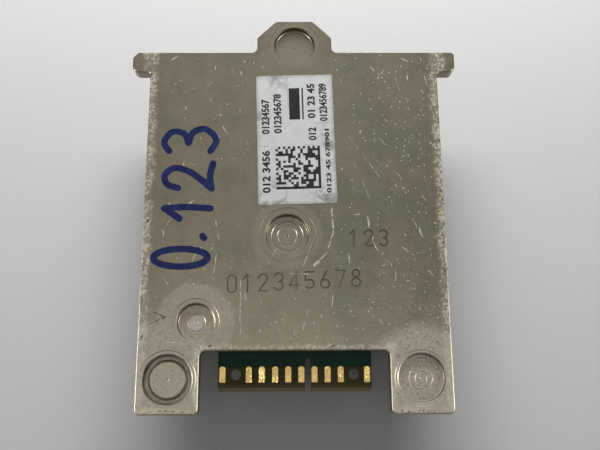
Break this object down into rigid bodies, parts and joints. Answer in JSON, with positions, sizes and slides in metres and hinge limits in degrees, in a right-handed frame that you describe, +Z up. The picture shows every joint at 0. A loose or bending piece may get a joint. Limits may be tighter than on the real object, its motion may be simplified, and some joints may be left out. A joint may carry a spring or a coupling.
{
  "type": "lamp driver module",
  "caption": "Electronic driver module: a flat stamped heat-sink plate with mounting wings and ears, and a circuit board with an edge connector tongue under it.",
  "frame": {"origin": "middle of the outline, on the surface that the module rests on: the ends of the four tall capacitors", "axes": "+Z up, out of the label face of the plate; +Y towards the single top tab, away from the contacts; +X across, towards the ear beside the connector key slot"},
  "size_m": [0.0672, 0.0806, 0.0161],
  "materials": {
    "plate_aluminium": "stamped and lightly brushed, dulled and worn bright along its edges",
    "label_film": "matt white film",
    "board_laminate": "green solder mask over woven glass laminate",
    "contact_gold": "hard gold plating",
    "gap_pad_silicone": "soft filled silicone",
    "screw_steel": "zinc-plated steel",
    "can_aluminium": "drawn and satin",
    "moulded_base": "black moulded plastic",
    "ferrite": "sintered grey ferrite",
    "copper_winding": "enamelled copper wire",
    "tinned_metal": "dull tin plating",
    "package_moulding": "fine-textured black epoxy",
    "capacitor_ceramic": "fired tan ceramic",
    "resistor_film": "black overglaze on ceramic",
    "crystal_ceramic": "dark fired ceramic",
    "crystal_metal": "seam-welded nickel alloy lid"
  },
  "bodies": {
    "root": {"board_screw_centre": "screw_steel", "board_screw_corner": "screw_steel", "board_washers": "screw_steel", "ceramic_bodies": "capacitor_ceramic", "ceramic_ends": "tinned_metal", "choke_base": "moulded_base", "choke_core": "ferrite", "choke_feet": "tinned_metal", "choke_windings": "copper_winding", "circuit_board": "board_laminate", "controller_body": "package_moulding", "controller_leads": "tinned_metal", "crystal_lid": "crystal_metal", "crystal_tray": "crystal_ceramic", "diode_bodies": "package_moulding", "diode_leads": "tinned_metal", "driver_body_1": "package_moulding", "driver_body_2": "package_moulding", "driver_leads_1": "tinned_metal", "driver_leads_2": "tinned_metal", "edge_contacts_lower": "contact_gold", "edge_contacts_upper": "contact_gold", "electrolytic_base_1": "moulded_base", "electrolytic_base_2": "moulded_base", "electrolytic_base_3": "moulded_base", "electrolytic_base_4": "moulded_base", "electrolytic_can_1": "can_aluminium", "electrolytic_can_2": "can_aluminium", "electrolytic_can_3": "can_aluminium", "electrolytic_can_4": "can_aluminium", "gap_pad_driver": "gap_pad_silicone", "gap_pad_power": "gap_pad_silicone", "heatsink_plate": "plate_aluminium", "inductor_drum_1": "ferrite", "inductor_drum_2": "ferrite", "inductor_drum_3": "ferrite", "inductor_shield_1": "ferrite", "inductor_shield_2": "ferrite", "inductor_shield_3": "ferrite", "inductor_terminals_1": "tinned_metal", "inductor_terminals_2": "tinned_metal", "inductor_terminals_3": "tinned_metal", "inductor_winding_1": "copper_winding", "inductor_winding_2": "copper_winding", "inductor_winding_3": "copper_winding", "mosfet_body_1": "package_moulding", "mosfet_body_2": "package_moulding", "mosfet_body_3": "package_moulding", "mosfet_body_4": "package_moulding", "mosfet_leadframe_1": "tinned_metal", "mosfet_leadframe_2": "tinned_metal", "mosfet_leadframe_3": "tinned_metal", "mosfet_leadframe_4": "tinned_metal", "rating_label": "label_film", "resistor_bodies": "resistor_film", "resistor_ends": "tinned_metal", "shunt_bodies": "resistor_film", "shunt_ends": "tinned_metal", "transceiver_body": "package_moulding", "transceiver_leads": "tinned_metal"}
  },
  "joints": []
}
